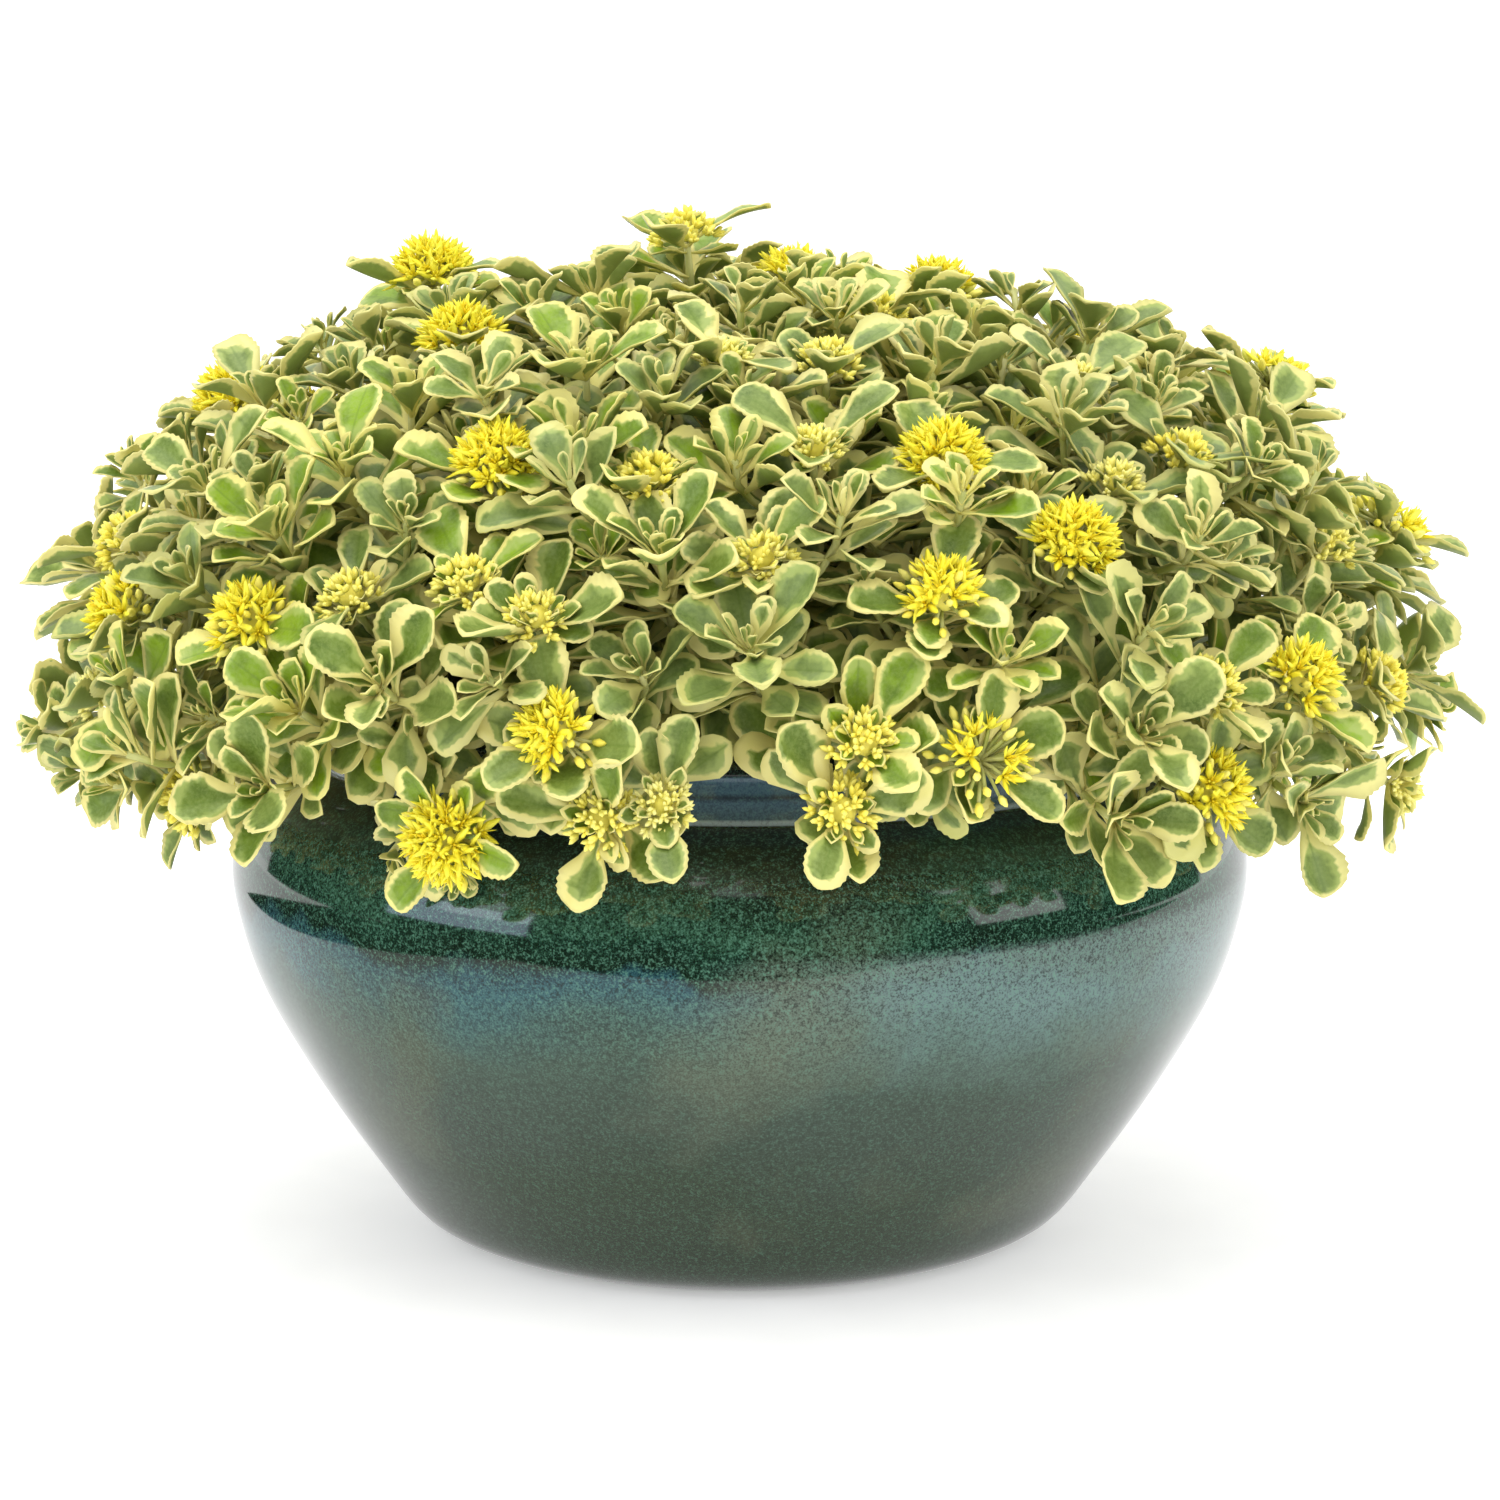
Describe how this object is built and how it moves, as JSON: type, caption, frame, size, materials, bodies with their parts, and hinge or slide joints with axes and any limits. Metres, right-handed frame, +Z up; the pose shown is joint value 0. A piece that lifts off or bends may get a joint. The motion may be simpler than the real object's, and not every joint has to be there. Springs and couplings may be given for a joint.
{
  "type": "potted stonecrop",
  "caption": "Cream-edged stonecrop with scalloped fleshy leaves and yellow star flowers, spilling over the rim of a round glazed stoneware bowl pot.",
  "frame": {"origin": "centre of the pot's flat foot", "axes": "+Z up along the pot's axis, -Y towards the viewer of the picture, +X to the right"},
  "size_m": [0.4025, 0.3699, 0.2849],
  "materials": {
    "pot_glaze": "glossy dark green glaze over a blue-grey and olive speckled body glaze",
    "potting_soil": "dark crumbly potting soil",
    "leaf_variegated": "fleshy grey-green leaves with cream scalloped margins on pale green stems",
    "petal_yellow": "soft bright yellow petals with orange anthers"
  },
  "bodies": {
    "root": {"flower_head_01": "petal_yellow", "flower_head_02": "petal_yellow", "flower_head_03": "petal_yellow", "flower_head_04": "petal_yellow", "flower_head_05": "petal_yellow", "flower_head_06": "petal_yellow", "flower_head_07": "petal_yellow", "flower_head_08": "petal_yellow", "flower_head_09": "petal_yellow", "flower_head_10": "petal_yellow", "flower_head_11": "petal_yellow", "flower_head_12": "petal_yellow", "flower_head_13": "petal_yellow", "flower_head_14": "petal_yellow", "flower_head_15": "petal_yellow", "flower_head_16": "petal_yellow", "flower_head_17": "petal_yellow", "flower_head_18": "petal_yellow", "flower_head_19": "petal_yellow", "flower_head_20": "petal_yellow", "flower_head_21": "petal_yellow", "flower_head_22": "petal_yellow", "flower_head_23": "petal_yellow", "leafy_stem_01": "leaf_variegated", "leafy_stem_02": "leaf_variegated", "leafy_stem_03": "leaf_variegated", "leafy_stem_04": "leaf_variegated", "leafy_stem_05": "leaf_variegated", "leafy_stem_06": "leaf_variegated", "leafy_stem_07": "leaf_variegated", "leafy_stem_08": "leaf_variegated", "leafy_stem_09": "leaf_variegated", "leafy_stem_10": "leaf_variegated", "leafy_stem_11": "leaf_variegated", "leafy_stem_12": "leaf_variegated", "leafy_stem_13": "leaf_variegated", "leafy_stem_14": "leaf_variegated", "leafy_stem_15": "leaf_variegated", "leafy_stem_16": "leaf_variegated", "leafy_stem_17": "leaf_variegated", "leafy_stem_18": "leaf_variegated", "leafy_stem_19": "leaf_variegated", "leafy_stem_20": "leaf_variegated", "leafy_stem_21": "leaf_variegated", "leafy_stem_22": "leaf_variegated", "leafy_stem_23": "leaf_variegated", "leafy_stem_24": "leaf_variegated", "leafy_stem_25": "leaf_variegated", "leafy_stem_26": "leaf_variegated", "leafy_stem_27": "leaf_variegated", "leafy_stem_28": "leaf_variegated", "leafy_stem_29": "leaf_variegated", "leafy_stem_30": "leaf_variegated", "leafy_stem_31": "leaf_variegated", "leafy_stem_32": "leaf_variegated", "pot": "pot_glaze", "soil": "potting_soil"}
  },
  "joints": []
}
